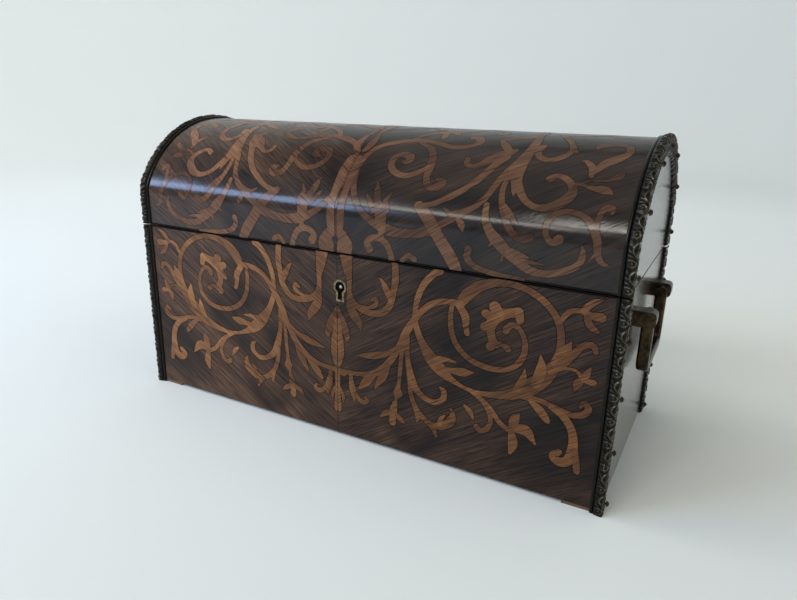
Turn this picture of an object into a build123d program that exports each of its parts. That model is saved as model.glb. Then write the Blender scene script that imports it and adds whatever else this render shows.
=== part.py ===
from build123d import *
import math
import os

# Dome-topped marquetry casket: veneered boards, brass edge mounts, box lock, bail handles.
# Millimetres. +X is the right end, -Y the front, +Z up, origin on the floor under the middle.

# Case and lid
panel_width = 290.0        # front veneer that shows between the brass mounts
body_depth = 130.0         # over the front and back veneers
case_height = 108.0        # lower edge of the case to its rim
lid_straight = 19.4        # upright wall of the lid
crown_rise = 45.15         # top of the upright wall to the top of the dome
shoulder_radius = 17.0     # between the upright wall and the dome
stave_count = 6            # staves in the dome
board = 9.0                # carcass boards and staves
base_board = 6.0           # bottom board
veneer = 1.0               # sawn veneer with the marquetry
rim_gap = 0.8              # joint between the case and the lid
lid_opening = 100.0        # degrees, stopped by the mitred back mounts
mitre_clearance = 4.0      # degrees left between those mitres at full opening

# Fits
glue_line = 0.05           # between curved or nested faces that are glued
pin_fit = 0.05             # round a pin in its bore
screw_fit = 0.03           # round a screw or a fixing pin
running_gap = 0.3          # between sliding faces
barrel_gap = 0.2           # between neighbouring hinge barrels

# Feet
foot_height = 2.0
foot_side = 18.0
foot_inset = 0.5

# Brass edge mounts and their round-headed pins
mount_lap = 4.5            # on the front, the back and the dome
mount_end_lap = 7.0        # on the end faces
mount_thickness = 2.4
mount_round = 1.2
mount_floor_gap = 0.2
pin_head_radius = 1.5
pin_head_height = 1.4
pin_shank_radius = 0.6
pin_length = 6.0           # under the head
case_pin_count = 4
case_pin_first = 3.0       # above the lower edge of the case
case_pin_pitch = 28.0
lid_pin_count = 7
lid_pin_margin = 8.0       # along the arch, from the lid's rim

# Hinges
hinge_offset = 85.0        # each hinge's middle from the middle of the box
hinge_length = 30.0
hinge_barrels = 5
barrel_radius = 2.0
hinge_pin_radius = 0.9
leaf_width = 9.0           # from the pin's axis
leaf_thickness = 1.2
hinge_axis_out = 0.4       # pin's axis behind the back veneer
hinge_screw_offset = 9.0
hinge_screw_inset = 5.4    # from the pin's axis

# Small screws of the hinges and the lock
screw_head_radius = 1.5
screw_head_height = 0.8
screw_shank_radius = 0.75
screw_length = 7.0

# Box lock in the front board and its strike on the lid
lock_half_width = 22.0
lock_drop = 27.0           # below the rim
lock_depth = 7.2           # into the front board from inside
lock_sheet = 1.2
lock_flange = 6.0          # rim plate beyond the lock on each side
bolt_throw = 5.0
bolt_thickness = 1.8
bolt_top = 9.5             # bolt's bar below the rim
bolt_bottom = 15.0
talon_half_width = 3.0     # notch that the key turns in
talon_depth = 2.5
finger_height = 2.2
finger_depth = 5.6         # finger's middle below the rim
hook_width = 3.0
tip_gap = 0.8              # finger's tip to the staple when unlocked
rail_height = 2.0
rail_inner = 8.0
rail_outer = 19.0
staple_offset = 11.0
staple_sheet = 1.6
staple_width = 4.4
staple_eye_width = 2.4
staple_eye_height = 3.0
staple_wall = 1.0          # under the eye
slot_clearance = 0.6       # round a staple in the rim plate
strike_half_width = 24.0
strike_screw_offset = 20.0

# Keyhole and its brass escutcheon
key_depth = 18.5           # key pin below the rim
key_pin_radius = 0.9
key_pin_setback = 0.5      # pin's tip behind the front veneer
key_radius = 3.0
key_slot_half = 1.4
key_slot_drop = 7.3
escutcheon_band = 1.1
escutcheon_proud = 0.35
escutcheon_seat = 1.0      # into the front board

# Bail handles on the ends
post_offset = 30.0         # each post from the middle of the end
post_depth = 18.0          # pivot below the rim
post_size = 8.0
post_reach = 10.0
post_round = 2.5
pivot_reach = 5.5          # pivot's axis from the end veneer
post_shank_radius = 2.0
nut_radius = 3.5
nut_height = 3.0
nut_seat_radius = 4.0
bail_bar = 6.0             # across, away from the end
bail_arm = 5.0             # along the end
bail_drop = 32.0           # pivot to the lower edge of the grip
bail_grip = 6.0
bail_corner = 8.0
bail_round = 1.2
bail_pin_radius = 1.6
bail_pin_length = 5.0
bail_side_gap = 0.4        # between an arm and its post

# Places that follow from the sizes
half_panel = panel_width / 2
half_length = half_panel + mount_lap
half_depth = body_depth / 2
outer_x = half_length + mount_thickness
wood_x = half_length - veneer
wood_y = half_depth - veneer
inner_x = wood_x - board
inner_y = wood_y - board
case_low = foot_height
case_top = case_low + case_height
lid_low = case_top + rim_gap
joint_z = case_top + rim_gap / 2
straight_top = lid_low + lid_straight
bend_run = half_depth - shoulder_radius
crown_gain = crown_rise - shoulder_radius
crown_drop = (bend_run ** 2 - crown_gain ** 2) / (2 * crown_gain)
crown_radius = crown_rise + crown_drop
crown_centre = straight_top - crown_drop
knee_angle = math.atan2(crown_drop, bend_run)
hinge_y = half_depth + hinge_axis_out
key_z = case_top - key_depth
pivot_z = case_top - post_depth
pivot_x = half_length + pivot_reach
LOW = (Align.CENTER, Align.CENTER, Align.MIN)


def block(x, y, z):
    """Box between the given pairs of X, Y and Z."""
    spans = [sorted(pair) for pair in (x, y, z)]
    middle = [(low + high) / 2 for low, high in spans]
    return Pos(*middle) * Box(*[high - low for low, high in spans])


def rod(radius, start, end):
    """Cylinder from one point to another."""
    axis = Vector(*end) - Vector(*start)
    return Plane(origin=start, z_dir=axis) * Cylinder(radius, axis.length, align=LOW)


def write(node, *shapes):
    """One file for a node, with every solid of the given shapes."""
    solids = [solid for shape in shapes for solid in shape.solids()]
    export_step(solids[0] if len(solids) == 1 else Compound(solids), f"parts/{node}.step")


def mirror_x(shape):
    """The same piece at the other end of the box."""
    return mirror(shape, about=Plane.YZ)


def shoulder_point(offset, angle):
    """Point of the right-hand shoulder arc, moved outward by offset, as (Y, Z)."""
    radius = shoulder_radius + offset
    return bend_run + radius * math.cos(angle), straight_top + radius * math.sin(angle)


def crown_point(offset, angle):
    """Point of the crown arc, moved outward by offset, as (Y, Z)."""
    radius = crown_radius + offset
    return radius * math.cos(angle), crown_centre + radius * math.sin(angle)


def flip(point):
    """The same point on the front side of the lid."""
    return -point[0], point[1]


def section_solid(lines, x):
    """Closed outline in the YZ plane, carried along X between two places."""
    face = make_face([edge for line in lines for edge in (Plane.YZ * line).edges()])
    return Pos(x[0], 0, 0) * extrude(face, amount=x[1] - x[0], dir=(1, 0, 0))


def lid_prism(offset, x):
    """The lid's whole cross-section, moved outward by offset, between two places along X."""
    side = half_depth + offset
    knee = shoulder_point(offset, knee_angle)
    bend = shoulder_point(offset, knee_angle / 2)
    lines = [
        Line((-side, lid_low), (side, lid_low)),
        Line((side, lid_low), (side, straight_top)),
        ThreePointArc((side, straight_top), bend, knee),
        ThreePointArc(knee, crown_point(offset, math.pi / 2), flip(knee)),
        ThreePointArc(flip(knee), flip(bend), (-side, straight_top)),
        Line((-side, straight_top), (-side, lid_low)),
    ]
    return section_solid(lines, x)


def arch_place(run, offset):
    """Point at a given run along the arch from the back rim, moved outward by offset, as (Y, Z)."""
    bend_length = shoulder_radius * knee_angle
    crown_half = crown_radius * (math.pi / 2 - knee_angle)
    half_run = lid_straight + bend_length + crown_half
    side_run = min(run, 2 * half_run - run)
    if side_run < lid_straight:
        place = (half_depth + offset, lid_low + side_run)
    elif side_run < lid_straight + bend_length:
        place = shoulder_point(offset, (side_run - lid_straight) / shoulder_radius)
    else:
        place = crown_point(offset, knee_angle + (side_run - lid_straight - bend_length) / crown_radius)
    return place if run <= half_run else flip(place)


def arch_length():
    """Length of the arch from the back rim over the dome to the front rim."""
    crown_length = crown_radius * (math.pi - 2 * knee_angle)
    return 2 * (lid_straight + shoulder_radius * knee_angle) + crown_length


def countersunk(head, way, radius_gap=0.0):
    """Countersunk screw from its head's face, pointing up or down along Z."""
    length = screw_length + radius_gap
    cone = Cone(screw_head_radius + radius_gap, screw_shank_radius + radius_gap, screw_head_height, align=LOW)
    screw = cone + Cylinder(screw_shank_radius + radius_gap, length, align=LOW)
    return Plane(origin=head, z_dir=(0, 0, way)) * screw


def round_pin(x_face, y, z, gap=0.0):
    """Round-headed pin driven into an end face along -X, or the hole for it when a gap is given."""
    if gap:
        return rod(pin_shank_radius + gap, (x_face, y, z), (x_face - pin_length - gap, y, z))
    ball_radius = (pin_head_radius ** 2 + pin_head_height ** 2) / (2 * pin_head_height)
    half_cap = math.asin(pin_head_radius / ball_radius) / 2
    cap_middle = (ball_radius * math.sin(half_cap), pin_head_height - ball_radius * (1 - math.cos(half_cap)))
    corners = [(0, pin_head_height), (0, -pin_length), (pin_shank_radius, -pin_length),
               (pin_shank_radius, 0), (pin_head_radius, 0)]
    lines = [Line(corners[i], corners[i + 1]) for i in range(len(corners) - 1)]
    lines.append(ThreePointArc(corners[-1], cap_middle, corners[0]))
    face = make_face([edge for line in lines for edge in (Plane.XZ * line).edges()])
    return Plane(origin=(x_face, y, z), z_dir=(1, 0, 0)) * revolve(face, Axis.Z)


def keyhole(grow, y):
    """Keyhole outline, round above and straight below, grown by a margin and cut between two Ys."""
    radius = key_radius + grow
    slot = key_slot_half + grow
    low = key_z - key_slot_drop - grow
    return rod(radius, (0, y[0], key_z), (0, y[1], key_z)) + block((-slot, slot), y, (low, key_z))


def back_mitre(x):
    """Wedge between the back mounts of case and lid, with its edge on the hinge axis."""
    half_angle = math.radians(lid_opening / 2 + mitre_clearance / 2)
    reach = 2 * mount_thickness
    rise = reach * math.tan(half_angle)
    corners = [(hinge_y, joint_z), (hinge_y + reach, joint_z + rise), (hinge_y + reach, joint_z - rise)]
    lines = [Line(corners[i], corners[(i + 1) % 3]) for i in range(3)]
    return section_solid(lines, x)


os.makedirs("parts", exist_ok=True)

# Fixing pins of the mounts at the right end: up both case corners and round the lid's arch
case_pin_y = half_depth - mount_end_lap / 2
case_pins = [(side * case_pin_y, case_low + case_pin_first + i * case_pin_pitch)
             for side in (-1, 1) for i in range(case_pin_count)]
lid_pin_pitch = (arch_length() - 2 * lid_pin_margin) / (lid_pin_count - 1)
lid_pins = [arch_place(lid_pin_margin + i * lid_pin_pitch, -mount_end_lap / 2) for i in range(lid_pin_count)]


def pin_group(places, gap=0.0):
    """Pins, or their holes, at both ends of the box."""
    right = [round_pin(outer_x, y, z, gap) for y, z in places]
    return right + [mirror_x(pin) for pin in right]


case_pin_holes = Compound([s for hole in pin_group(case_pins, screw_fit) for s in hole.solids()])
lid_pin_holes = Compound([s for hole in pin_group(lid_pins, screw_fit) for s in hole.solids()])

# Hinges: each barrel row is shared out between the two leaves, the outer barrels on the case
barrel_pitch = hinge_length / hinge_barrels


def hinge_leaf(middle, on_lid):
    """Leaf with its barrels, bored for the pin and countersunk for its screws."""
    z_face = lid_low if on_lid else case_top
    way = 1 if on_lid else -1
    span = (middle - hinge_length / 2, middle + hinge_length / 2)
    leaf = block(span, (hinge_y - leaf_width, hinge_y), (z_face, z_face + way * leaf_thickness))
    for i in range(hinge_barrels):
        start = span[0] + i * barrel_pitch
        mine = (i % 2 == 1) == on_lid
        trim = barrel_gap / 2 if mine else -barrel_gap / 2
        radius = barrel_radius if mine else barrel_radius + running_gap
        ends = (start + trim, start + barrel_pitch - trim)
        barrel = rod(radius, (ends[0], hinge_y, joint_z), (ends[1], hinge_y, joint_z))
        leaf = leaf + barrel if mine else leaf - barrel
    leaf -= rod(hinge_pin_radius + pin_fit, (span[0] - 1, hinge_y, joint_z), (span[1] + 1, hinge_y, joint_z))
    for head in hinge_screw_heads(middle, z_face):
        leaf -= countersunk(head, way, screw_fit)
    return leaf


def hinge_screw_heads(middle, z_face):
    """Middles of one leaf's screw heads."""
    return [(middle + side * hinge_screw_offset, hinge_y - hinge_screw_inset, z_face) for side in (-1, 1)]


def hinge_seat(middle, on_lid):
    """Recess for a leaf, its barrels and its screws in the back boards and veneers."""
    z_face = lid_low if on_lid else case_top
    way = 1 if on_lid else -1
    ends = (middle - hinge_length / 2 - running_gap, middle + hinge_length / 2 + running_gap)
    seat = block(ends, (hinge_y - leaf_width - glue_line, hinge_y), (z_face - way, z_face + way * leaf_thickness))
    seat += rod(barrel_radius + running_gap, (ends[0], hinge_y, joint_z), (ends[1], hinge_y, joint_z))
    for head in hinge_screw_heads(middle, z_face):
        seat += countersunk(head, way, screw_fit)
    return seat


hinge_names = {"left": -hinge_offset, "right": hinge_offset}
case_hinge_seats = [hinge_seat(middle, False) for middle in hinge_names.values()]
lid_hinge_seats = [hinge_seat(middle, True) for middle in hinge_names.values()]

# Box lock: a plate with a rim flange, two rails, the sliding bolt and the fixed key pin
lock_front = -inner_y - lock_depth
lock_back = -inner_y
bolt_y = (lock_front + lock_back - lock_sheet) / 2
bolt_span_y = (bolt_y - bolt_thickness / 2, bolt_y + bolt_thickness / 2)
staple_places = (-staple_offset, staple_offset)
flange_half = lock_half_width + lock_flange
lock_screw_x = flange_half - lock_flange / 2
lock_screw_heads = [(side * lock_screw_x, bolt_y, case_top) for side in (-1, 1)]
strike_screw_heads = [(side * strike_screw_offset, bolt_y, lid_low) for side in (-1, 1)]

lock_plate = block((-lock_half_width, lock_half_width), (lock_back - lock_sheet, lock_back),
                   (case_top - lock_drop, case_top))
lock_plate += block((-flange_half, flange_half), (lock_front + glue_line, lock_back),
                    (case_top - lock_sheet, case_top))
for side in (-1, 1):
    rail_top = case_top - bolt_bottom - running_gap
    lock_plate += block((side * rail_inner, side * rail_outer), (bolt_span_y[0], lock_back - lock_sheet),
                        (rail_top - rail_height, rail_top))
for place in staple_places:
    half_x = staple_sheet / 2 + slot_clearance
    half_y = staple_width / 2 + slot_clearance
    lock_plate -= block((place - half_x, place + half_x), (bolt_y - half_y, bolt_y + half_y),
                        (case_top - 2 * lock_sheet, case_top + 1))
for head in lock_screw_heads:
    lock_plate -= countersunk(head, -1, screw_fit)
key_pin_line = ((0, lock_back, key_z), (0, -half_depth + key_pin_setback, key_z))
lock_plate -= rod(key_pin_radius + screw_fit, *key_pin_line)

bolt_left = -staple_offset - staple_sheet / 2 - running_gap - bolt_throw - hook_width
lock_bolt = block((bolt_left, staple_offset), bolt_span_y, (case_top - bolt_bottom, case_top - bolt_top))
lock_bolt -= block((-talon_half_width, talon_half_width), bolt_span_y,
                   (case_top - bolt_bottom, case_top - bolt_bottom + talon_depth))
finger_top = case_top - finger_depth + finger_height / 2
for place in staple_places:
    hook_face = place - staple_sheet / 2 - running_gap - bolt_throw
    lock_bolt += block((hook_face - hook_width, hook_face), bolt_span_y, (case_top - bolt_top, finger_top))
    lock_bolt += block((hook_face, place - staple_sheet / 2 - tip_gap), bolt_span_y,
                       (finger_top - finger_height, finger_top))

strike_plate = block((-strike_half_width, strike_half_width), (lock_front + glue_line, lock_back),
                     (lid_low, lid_low + lock_sheet))
eye_low = case_top - finger_depth - staple_eye_height / 2
staples = []
for place in staple_places:
    across = (place - staple_sheet / 2, place + staple_sheet / 2)
    staple = block(across, (bolt_y - staple_width / 2, bolt_y + staple_width / 2),
                   (eye_low - staple_wall, lid_low))
    staple -= block(across, (bolt_y - staple_eye_width / 2, bolt_y + staple_eye_width / 2),
                    (eye_low, eye_low + staple_eye_height))
    staples.append(staple)
for head in strike_screw_heads:
    strike_plate -= countersunk(head, 1, screw_fit)

# Case boards, butted at the corners, with the bottom board between them
front_board = block((-wood_x, wood_x), (-wood_y, -inner_y), (case_low, case_top))
front_board -= block((-lock_half_width - glue_line, lock_half_width + glue_line), (lock_front, lock_back),
                     (case_top - lock_drop - glue_line, case_top))
front_board -= block((-flange_half - glue_line, flange_half + glue_line), (lock_front, lock_back),
                     (case_top - lock_sheet, case_top))
front_board -= keyhole(0, (-wood_y, lock_front))
front_board -= keyhole(escutcheon_band + screw_fit, (-wood_y, -wood_y + escutcheon_seat))
for head in lock_screw_heads:
    front_board -= countersunk(head, -1, screw_fit)
back_board = block((-wood_x, wood_x), (inner_y, wood_y), (case_low, case_top))
for seat in case_hinge_seats:
    back_board -= seat
end_board = block((inner_x, wood_x), (-inner_y, inner_y), (case_low, case_top))
bottom_board = block((-inner_x, inner_x), (-inner_y, inner_y), (case_low, case_low + base_board))

# Bail handle at the right end: posts, nuts inside the board, and the bail itself
posts = []
nuts = []
for side in (-1, 1):
    middle = side * post_offset
    post = block((half_length, half_length + post_reach), (middle - post_size / 2, middle + post_size / 2),
                 (pivot_z - post_size / 2, pivot_z + post_size / 2))
    tip_edges = [e for e in post.edges().filter_by(Axis.Y) if e.center().X > half_length + post_reach / 2]
    post = fillet(tip_edges, post_round)
    inner_face = middle - side * post_size / 2
    bore_end = inner_face + side * (bail_pin_length + bail_side_gap)
    post -= rod(bail_pin_radius + pin_fit, (pivot_x, inner_face - side, pivot_z), (pivot_x, bore_end, pivot_z))
    post += rod(post_shank_radius, (inner_x, middle, pivot_z), (half_length, middle, pivot_z))
    posts.append(post)
    shank_hole = rod(post_shank_radius + screw_fit, (inner_x - 1, middle, pivot_z), (half_length + 1, middle, pivot_z))
    nut_line = ((inner_x, middle, pivot_z), (inner_x + nut_height, middle, pivot_z))
    nuts.append(rod(nut_radius, *nut_line) - shank_hole)
    end_board -= shank_hole
    end_board -= rod(nut_seat_radius, *nut_line)

arm_out = post_offset - post_size / 2 - bail_side_gap
arm_in = arm_out - bail_arm
bail_low = pivot_z - bail_drop
bail_x = (pivot_x - bail_bar / 2, pivot_x + bail_bar / 2)
bail_frame = block(bail_x, (-arm_out, arm_out), (bail_low, pivot_z))
bail_frame = fillet([e for e in bail_frame.edges().filter_by(Axis.X) if e.center().Z < pivot_z - 1], bail_corner)
bail_gap = block(bail_x, (-arm_in, arm_in), (bail_low + bail_grip, pivot_z + bail_bar))
bail_gap = fillet([e for e in bail_gap.edges().filter_by(Axis.X) if e.center().Z < pivot_z], bail_corner - bail_arm)
bail = fillet((bail_frame - bail_gap).edges().filter_by(lambda e: e.center().Z < pivot_z - 1e-3), bail_round)
for side in (-1, 1):
    bail += rod(bail_bar / 2, (pivot_x, side * arm_in, pivot_z), (pivot_x, side * arm_out, pivot_z))
    pin_end = side * (arm_out + bail_pin_length)
    bail += rod(bail_pin_radius, (pivot_x, side * arm_in, pivot_z), (pivot_x, pin_end, pivot_z))

# Case veneers: the front and back sheets cover the edges of the end sheets
front_veneer = block((-half_length, half_length), (-half_depth, -wood_y), (case_low, case_top))
front_veneer -= keyhole(escutcheon_band + screw_fit, (-half_depth, -wood_y))
back_veneer = block((-half_length, half_length), (wood_y, half_depth), (case_low, case_top))
for seat in case_hinge_seats:
    back_veneer -= seat
end_veneer = block((wood_x, half_length), (-wood_y, wood_y), (case_low, case_top))
for side in (-1, 1):
    middle = side * post_offset
    end_veneer -= rod(post_shank_radius + screw_fit, (wood_x - 1, middle, pivot_z), (half_length + 1, middle, pivot_z))

right_board = end_board - case_pin_holes
right_veneer = end_veneer - case_pin_holes
write("case_front_board", front_board - case_pin_holes)
write("case_back_board", back_board - case_pin_holes)
write("case_right_board", right_board)
write("case_left_board", mirror_x(right_board))
write("case_bottom_board", bottom_board)
write("case_front_veneer", front_veneer)
write("case_back_veneer", back_veneer)
write("case_right_veneer", right_veneer)
write("case_left_veneer", mirror_x(right_veneer))

# Feet under the four corners
foot_x = (half_length - foot_inset - foot_side, half_length - foot_inset)
foot_y = (half_depth - foot_inset - foot_side, half_depth - foot_inset)
right_feet = [block(foot_x, [side * y for y in foot_y], (0, foot_height)) for side in (-1, 1)]
write("corner_feet", *right_feet, *[mirror_x(foot) for foot in right_feet])

# Case corner mounts: an angle strip with its outer corner rounded
mount_z = (mount_floor_gap, case_top)
mount_y = half_depth + mount_thickness
mitre_right = back_mitre((half_panel - 1, outer_x + 1))
for name, side in (("front", -1), ("back", 1)):
    face_strip = block((half_panel, outer_x), (side * half_depth, side * mount_y), mount_z)
    end_strip = block((half_length, outer_x), (side * (half_depth - mount_end_lap), side * half_depth), mount_z)
    mount = face_strip + end_strip
    corner = [e for e in mount.edges().filter_by(Axis.Z)
              if e.center().X > outer_x - 0.1 and abs(e.center().Y) > mount_y - 0.1]
    mount = fillet(corner, mount_round) - case_pin_holes - mitre_right
    write(f"case_mount_{name}_right", mount)
    write(f"case_mount_{name}_left", mirror_x(mount))
write("case_mount_pins", *pin_group(case_pins))

# Lid: front and back rails, staves between the knees, and an arched board at each end
lid_x = (-wood_x, wood_x)
skin = -(veneer + glue_line)
lining = -(veneer + board)
rail_lines = [
    Line((half_depth + lining, lid_low), (half_depth + skin, lid_low)),
    Line((half_depth + skin, lid_low), (half_depth + skin, straight_top)),
    ThreePointArc((half_depth + skin, straight_top), shoulder_point(skin, knee_angle / 2),
                  shoulder_point(skin, knee_angle)),
    Line(shoulder_point(skin, knee_angle), shoulder_point(lining, knee_angle)),
    ThreePointArc(shoulder_point(lining, knee_angle), shoulder_point(lining, knee_angle / 2),
                  (half_depth + lining, straight_top)),
    Line((half_depth + lining, straight_top), (half_depth + lining, lid_low)),
]
back_rail = section_solid(rail_lines, lid_x)
front_rail = mirror(back_rail, about=Plane.XZ)
for seat in lid_hinge_seats:
    back_rail -= seat
front_rail -= block((-strike_half_width - glue_line, strike_half_width + glue_line), (lock_front, lock_back),
                    (lid_low, lid_low + lock_sheet))
for head in strike_screw_heads:
    front_rail -= countersunk(head, 1, screw_fit)
write("lid_back_rail", back_rail - lid_pin_holes)
write("lid_front_rail", front_rail - lid_pin_holes)

stave_angle = (math.pi - 2 * knee_angle) / stave_count
for i in range(stave_count):
    start = knee_angle + i * stave_angle
    angles = (start, start + stave_angle / 2, start + stave_angle)
    outer = [crown_point(skin, angle) for angle in angles]
    inner = [crown_point(lining, angle) for angle in angles]
    stave_lines = [ThreePointArc(*outer), Line(outer[2], inner[2]),
                   ThreePointArc(*reversed(inner)), Line(inner[0], outer[0])]
    write(f"lid_stave_{i + 1}", section_solid(stave_lines, lid_x) - lid_pin_holes)

lid_end = lid_prism(lining - glue_line, (inner_x, wood_x))
write("lid_right_end", lid_end)
write("lid_left_end", mirror_x(lid_end))
lid_end_veneer = lid_prism(skin, (wood_x, half_length)) - lid_pin_holes
write("lid_right_veneer", lid_end_veneer)
write("lid_left_veneer", mirror_x(lid_end_veneer))
span = (-half_length, half_length)
dome_veneer = lid_prism(0, span) - lid_prism(-veneer, span)
for seat in lid_hinge_seats:
    dome_veneer -= seat
write("lid_dome_veneer", dome_veneer)

# Lid mounts: a band over the dome and a flange on the end, following the arch
band_x = (half_panel, outer_x)
flange_x = (half_length, outer_x)
arch = lid_prism(mount_thickness, band_x) - lid_prism(glue_line, band_x)
arch += lid_prism(mount_thickness, flange_x) - lid_prism(-mount_end_lap, flange_x)
rim_edges = [e for e in arch.edges() if abs(e.center().X - outer_x) < 1e-3 and e.center().Z > lid_low + 1e-3]
longest = sorted(rim_edges, key=lambda e: e.length)[-1]
outline = [e for e in rim_edges if e.distance_to(longest) < 1e-3]
shoulders = [e for e in rim_edges if any(e.distance_to(o) < 1e-3 for o in outline)]
arch = fillet(shoulders, mount_round) - lid_pin_holes - mitre_right
write("lid_mount_right", arch)
write("lid_mount_left", mirror_x(arch))
write("lid_mount_pins", *pin_group(lid_pins))

# Hinge pieces
for name, middle in hinge_names.items():
    write(f"{name}_hinge_case_leaf", hinge_leaf(middle, False))
    write(f"{name}_hinge_lid_leaf", hinge_leaf(middle, True))
    ends = [(middle + side * hinge_length / 2, hinge_y, joint_z) for side in (-1, 1)]
    write(f"{name}_hinge_pin", rod(hinge_pin_radius, *ends))
middles = list(hinge_names.values())
write("hinge_case_screws", *[countersunk(head, -1) for m in middles for head in hinge_screw_heads(m, case_top)])
write("hinge_lid_screws", *[countersunk(head, 1) for m in middles for head in hinge_screw_heads(m, lid_low)])

# Lock pieces and the keyhole escutcheon
write("lock_plate", lock_plate)
write("lock_bolt", lock_bolt)
write("lock_key_pin", rod(key_pin_radius, *key_pin_line))
write("lock_screws", *[countersunk(head, -1) for head in lock_screw_heads])
write("strike_plate", strike_plate)
write("strike_staples", *staples)
write("strike_screws", *[countersunk(head, 1) for head in strike_screw_heads])
escutcheon_y = (-half_depth - escutcheon_proud, -wood_y + escutcheon_seat)
write("keyhole_escutcheon", keyhole(escutcheon_band, escutcheon_y) - keyhole(0, escutcheon_y))

# Handle pieces
write("right_handle_posts", *posts)
write("left_handle_posts", *[mirror_x(post) for post in posts])
write("right_handle_nuts", *nuts)
write("left_handle_nuts", *[mirror_x(nut) for nut in nuts])
write("right_bail", bail)
write("left_bail", mirror_x(bail))
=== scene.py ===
import math

import bpy
import numpy as np
from mathutils import Matrix, Vector


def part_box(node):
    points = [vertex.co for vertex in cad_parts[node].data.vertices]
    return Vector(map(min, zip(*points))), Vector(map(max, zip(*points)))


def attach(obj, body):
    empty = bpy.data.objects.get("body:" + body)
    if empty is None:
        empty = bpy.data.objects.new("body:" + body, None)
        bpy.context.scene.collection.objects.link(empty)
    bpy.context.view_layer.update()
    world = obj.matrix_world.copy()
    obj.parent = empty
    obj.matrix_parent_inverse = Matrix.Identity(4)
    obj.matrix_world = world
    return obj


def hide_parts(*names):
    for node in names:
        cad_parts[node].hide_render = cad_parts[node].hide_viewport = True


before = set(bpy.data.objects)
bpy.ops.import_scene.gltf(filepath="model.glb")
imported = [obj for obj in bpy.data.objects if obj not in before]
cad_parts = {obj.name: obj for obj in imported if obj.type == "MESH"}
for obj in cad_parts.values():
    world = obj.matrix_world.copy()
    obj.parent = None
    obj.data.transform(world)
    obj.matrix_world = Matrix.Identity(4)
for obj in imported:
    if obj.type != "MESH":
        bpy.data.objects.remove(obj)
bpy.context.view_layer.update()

scene = bpy.context.scene
scene.view_settings.view_transform = "Standard"
MM = 0.001

# Sizes of the lid in millimetres: how far the hinge's axis lies behind the veneer, the veneer's thickness,
# the upright run of the lid's wall and the radius of its shoulder
HINGE_OUT = 0.4
VENEER = 1.0
STRAIGHT = 19.4
SHOULDER = 17.0

# Places of the casket in millimetres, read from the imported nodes
front_low, front_high = (np.array(corner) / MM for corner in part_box("case_front_veneer"))
dome_low, dome_high = (np.array(corner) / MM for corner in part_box("lid_dome_veneer"))
mount_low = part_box("case_mount_front_right")[0].z / MM
half_depth = -dome_low[1]
half_length = dome_high[0]
case_low = front_low[2]
case_top = front_high[2]
case_height = case_top - case_low
lid_low = dome_low[2]
joint_z = (case_top + lid_low) / 2
hinge_y = half_depth + HINGE_OUT

# The lid's profile: an upright wall, then a shoulder arc and a crown arc that meet at the knee
straight_top = lid_low + STRAIGHT
bend_run = half_depth - SHOULDER
crown_gain = dome_high[2] - straight_top - SHOULDER
crown_drop = (bend_run ** 2 - crown_gain ** 2) / (2 * crown_gain)
crown_radius = crown_gain + SHOULDER + crown_drop
crown_centre = straight_top - crown_drop
knee = math.atan2(crown_drop, bend_run)
shoulder_end = STRAIGHT + SHOULDER * knee
arch_half = shoulder_end + crown_radius * (math.pi / 2 - knee)


def dome_place(run, lift):
    """(y, z) of the lid's profile at a run of arc from the front rim, moved out along the normal by lift:
    an upright wall, a shoulder arc and a crown arc, mirrored past the crown."""
    past = run > arch_half
    near = np.where(past, 2 * arch_half - run, run)
    in_crown = near > shoulder_end
    turn = np.where(in_crown, knee + (near - shoulder_end) / crown_radius,
                    np.clip((near - STRAIGHT) / SHOULDER, 0, knee))
    radius = np.where(in_crown, crown_radius, SHOULDER) + lift
    out = radius * np.cos(turn) + np.where(in_crown, 0, bend_run)
    rise = radius * np.sin(turn) + np.where(in_crown, crown_centre, straight_top)
    z = np.where(near < STRAIGHT, lid_low + near, rise)
    return np.where(past, out, -out), z


def front_sheet(x, up, lift):
    """Point of the case's front at a height above its lower edge, moved forward by lift."""
    return np.stack([x, -half_depth - lift, case_low + up], -1)


def lid_sheet(x, up, lift):
    """Point of the dome where up counts on from the case's height along the arc, moved outward by lift."""
    y, z = dome_place(up - case_height, lift)
    return np.stack([x, y, z], -1)


def enclosed(mesh, points):
    """Six times the volume a mesh encloses, below nothing where its faces look inward."""
    mesh.calc_loop_triangles()
    owner = np.empty(3 * len(mesh.loop_triangles), np.int32)
    mesh.loop_triangles.foreach_get("vertices", owner)
    a, b, c = points[owner.reshape(-1, 3)].transpose(1, 0, 2)
    return np.einsum("ij,ij->", a, np.cross(b, c))


def mesh_piece(name, points, faces, finish, body, sheet=None, crease=40):
    """A mesh piece from points in millimetres: faces turned outward by the sign of the volume, smooth shading
    split at creases, and the sheet's own lengths as a UV map."""
    mesh = bpy.data.meshes.new(name)
    mesh.from_pydata((points * MM).tolist(), [], faces)
    if enclosed(mesh, points) < 0:
        mesh.clear_geometry()
        mesh.from_pydata((points * MM).tolist(), [], [face[::-1] for face in faces])
    mesh.polygons.foreach_set("use_smooth", np.ones(len(mesh.polygons), bool))
    mesh.set_sharp_from_angle(angle=math.radians(crease))
    if sheet is not None:
        owner = np.empty(len(mesh.loops), np.int32)
        mesh.loops.foreach_get("vertex_index", owner)
        layer = mesh.uv_layers.new(name="sheet")
        layer.uv.foreach_set("vector", (sheet[owner] * MM).ravel())
    mesh.materials.append(finish)
    piece = bpy.data.objects.new(name, mesh)
    scene.collection.objects.link(piece)
    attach(piece, body)
    return piece


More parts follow.
